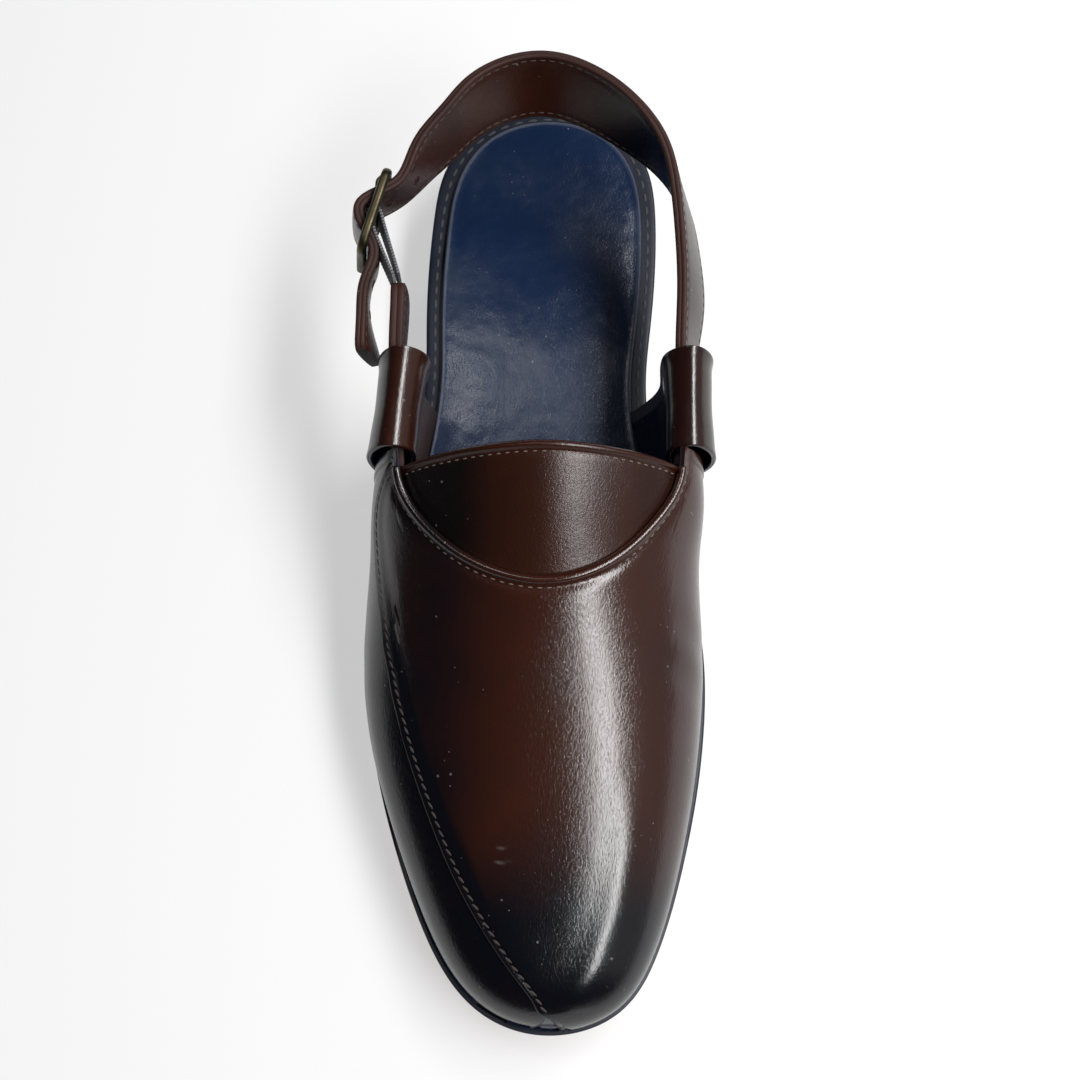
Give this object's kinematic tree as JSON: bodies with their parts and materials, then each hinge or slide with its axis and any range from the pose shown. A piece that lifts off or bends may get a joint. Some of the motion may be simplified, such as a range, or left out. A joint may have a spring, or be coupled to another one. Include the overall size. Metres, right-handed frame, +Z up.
{
  "type": "peshawari chappal",
  "caption": "Right peshawari chappal in dark brown leather: closed toe, open heel, buckled back strap with elastic, navy insole, red moulded sole with black rubber tread.",
  "frame": {"origin": "on the floor at the centre of the shoe's bounding box", "axes": "+Y from the toe to the heel, +Z up, -X towards the outer side with the buckle"},
  "size_m": [0.1105, 0.3, 0.0793],
  "materials": {
    "brown_leather": "polished, burnished to black at toe and edges",
    "navy_leather": "satin",
    "red_sole": "satin moulded, navy-black along the edge",
    "black_rubber": "matte",
    "elastic_web": "ribbed",
    "antique_brass": "aged, satin"
  },
  "bodies": {
    "root": {"outsole": "red_sole", "forefoot_pad": "black_rubber", "heel": "red_sole", "heel_rubber": "black_rubber", "insole": "navy_leather", "upper": "brown_leather", "tongue": "brown_leather", "lateral_loop": "brown_leather", "medial_loop": "brown_leather", "back_strap": "brown_leather", "side_strap": "brown_leather", "buckle_frame": "antique_brass", "buckle_prong": "antique_brass", "elastic_tab": "elastic_web"}
  },
  "joints": []
}
